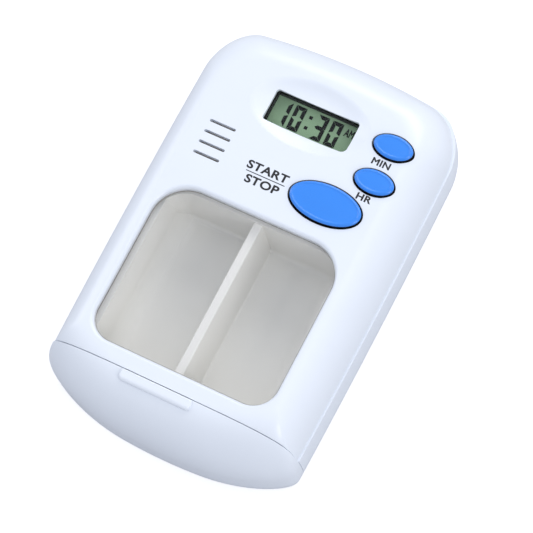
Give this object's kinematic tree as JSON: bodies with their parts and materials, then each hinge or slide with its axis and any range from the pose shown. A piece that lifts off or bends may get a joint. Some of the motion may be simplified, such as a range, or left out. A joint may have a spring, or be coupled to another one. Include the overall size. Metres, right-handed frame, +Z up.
{
  "type": "pill box with alarm timer",
  "caption": "Pocket pill box with a sliding two-part drawer under a clear pane, a clock display with an alarm, push keys and a battery cap in the base.",
  "frame": {"origin": "centre of the base, on the surface the box rests on", "axes": "+Z up out of the top face, +Y towards the display end, -Y towards the drawer front, +X to the right when the display is read"},
  "size_m": [0.059, 0.092, 0.023],
  "materials": {
    "shell_white": "semi-gloss moulded, bluish white",
    "tray_white": "fine satin moulded, warm white",
    "clear_plastic": "polished clear plastic",
    "black_plastic": "matt moulded",
    "display_glass": "grey-green reflective display",
    "contact_rubber": "striped silicone",
    "board_green": "solder mask",
    "black_resin": "domed resin",
    "tin_plate": "bright plate",
    "coil_copper": "varnished wire",
    "ceramic_tan": "sintered",
    "key_blue": "semi-gloss moulded",
    "brass_plate": "rolled sheet",
    "screw_steel": "zinc plated"
  },
  "bodies": {
    "housing": {"upper_housing": "shell_white", "lower_housing": "shell_white", "window_pane": "clear_plastic", "display_lens": "clear_plastic", "lcd_holder": "black_plastic", "lcd_glass": "display_glass", "zebra_strip": "contact_rubber", "circuit_board": "board_green", "controller_chip": "black_resin", "clock_crystal": "tin_plate", "buzzer_coil": "coil_copper", "board_capacitors": "ceramic_tan", "tact_switches": "black_plastic", "piezo_disc": "brass_plate", "buzzer_contacts": "brass_plate", "button_cell": "tin_plate", "positive_contact": "tin_plate", "negative_contact": "tin_plate", "case_screws": "screw_steel", "board_screws": "screw_steel"},
    "drawer": {"drawer_tray": "tray_white", "drawer_front": "shell_white"},
    "start_key": {"start_stop_button": "key_blue", "start_plunger": "black_plastic"},
    "hour_key": {"hour_button": "key_blue", "hour_plunger": "black_plastic"},
    "minute_key": {"minute_button": "key_blue", "minute_plunger": "black_plastic"},
    "battery_door": {"battery_cap": "shell_white"}
  },
  "joints": [
    {"name": "drawer_slide", "type": "slide", "parent": "housing", "child": "drawer", "axis": [0, -1, 0], "range_m": [0, 0.038]},
    {"name": "start_stop_press", "type": "slide", "parent": "housing", "child": "start_key", "axis": [0, 0, -1], "range_m": [0, 0.0005], "stiffness_N_per_m": 2000},
    {"name": "hour_press", "type": "slide", "parent": "housing", "child": "hour_key", "axis": [0, 0, -1], "range_m": [0, 0.0005], "stiffness_N_per_m": 2000},
    {"name": "minute_press", "type": "slide", "parent": "housing", "child": "minute_key", "axis": [0, 0, -1], "range_m": [0, 0.0005], "stiffness_N_per_m": 2000},
    {"name": "battery_cap_twist", "type": "hinge", "parent": "housing", "child": "battery_door", "pos_m": [-0.01, 0.027, 0], "axis": [0, 0, 1], "range_deg": [0, 60]}
  ]
}
